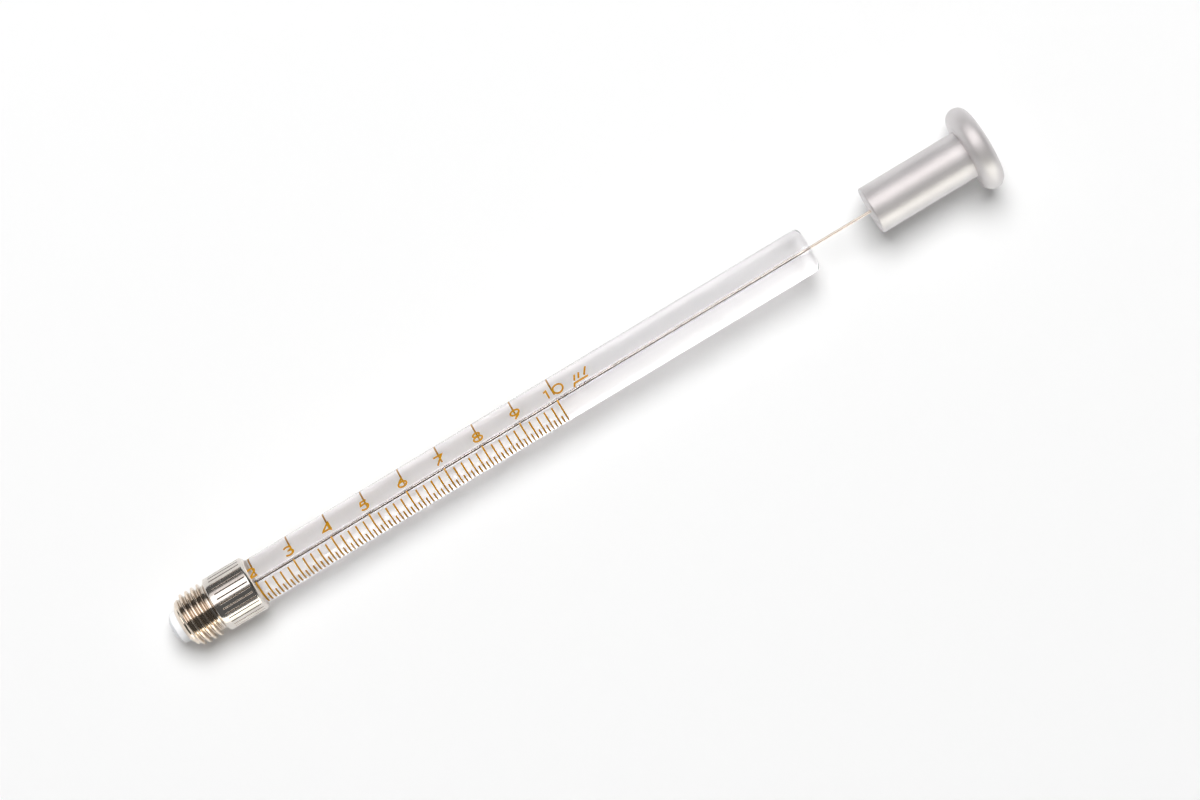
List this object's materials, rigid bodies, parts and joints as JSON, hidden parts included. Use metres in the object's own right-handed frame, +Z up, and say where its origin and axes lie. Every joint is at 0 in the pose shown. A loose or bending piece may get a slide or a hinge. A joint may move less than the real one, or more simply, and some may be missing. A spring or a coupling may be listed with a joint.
{
  "type": "gas syringe",
  "caption": "Gas-tight microlitre syringe: graduated thick glass barrel, threaded and fluted metal needle fitting, wire plunger with a round thumb button.",
  "frame": {"origin": "centre of the sealing face that the needle is clamped against", "axes": "+X along the barrel, from the needle end to the plunger's button; +Z up"},
  "size_m": [0.1302, 0.0124, 0.0124],
  "materials": {
    "barrel_glass": "clear, fire-polished",
    "fitting_nickel_plate": "polished nickel plate on brass",
    "seal_white": "waxy white fluoropolymer",
    "cement": "cured cement",
    "wire_steel": "drawn and ground",
    "tip_white": "waxy white fluoropolymer",
    "button_aluminium": "satin turned"
  },
  "bodies": {
    "barrel": {"glass_barrel": "barrel_glass", "end_fitting": "fitting_nickel_plate", "needle_seal": "seal_white", "barrel_cement": "cement"},
    "plunger": {"plunger_wire": "wire_steel", "plunger_tip": "tip_white", "plunger_button": "button_aluminium"}
  },
  "joints": [
    {"name": "plunger_slide", "type": "slide", "parent": "barrel", "child": "plunger", "axis": [1, 0, 0], "range_m": [-0.0096, 0.0504]}
  ]
}
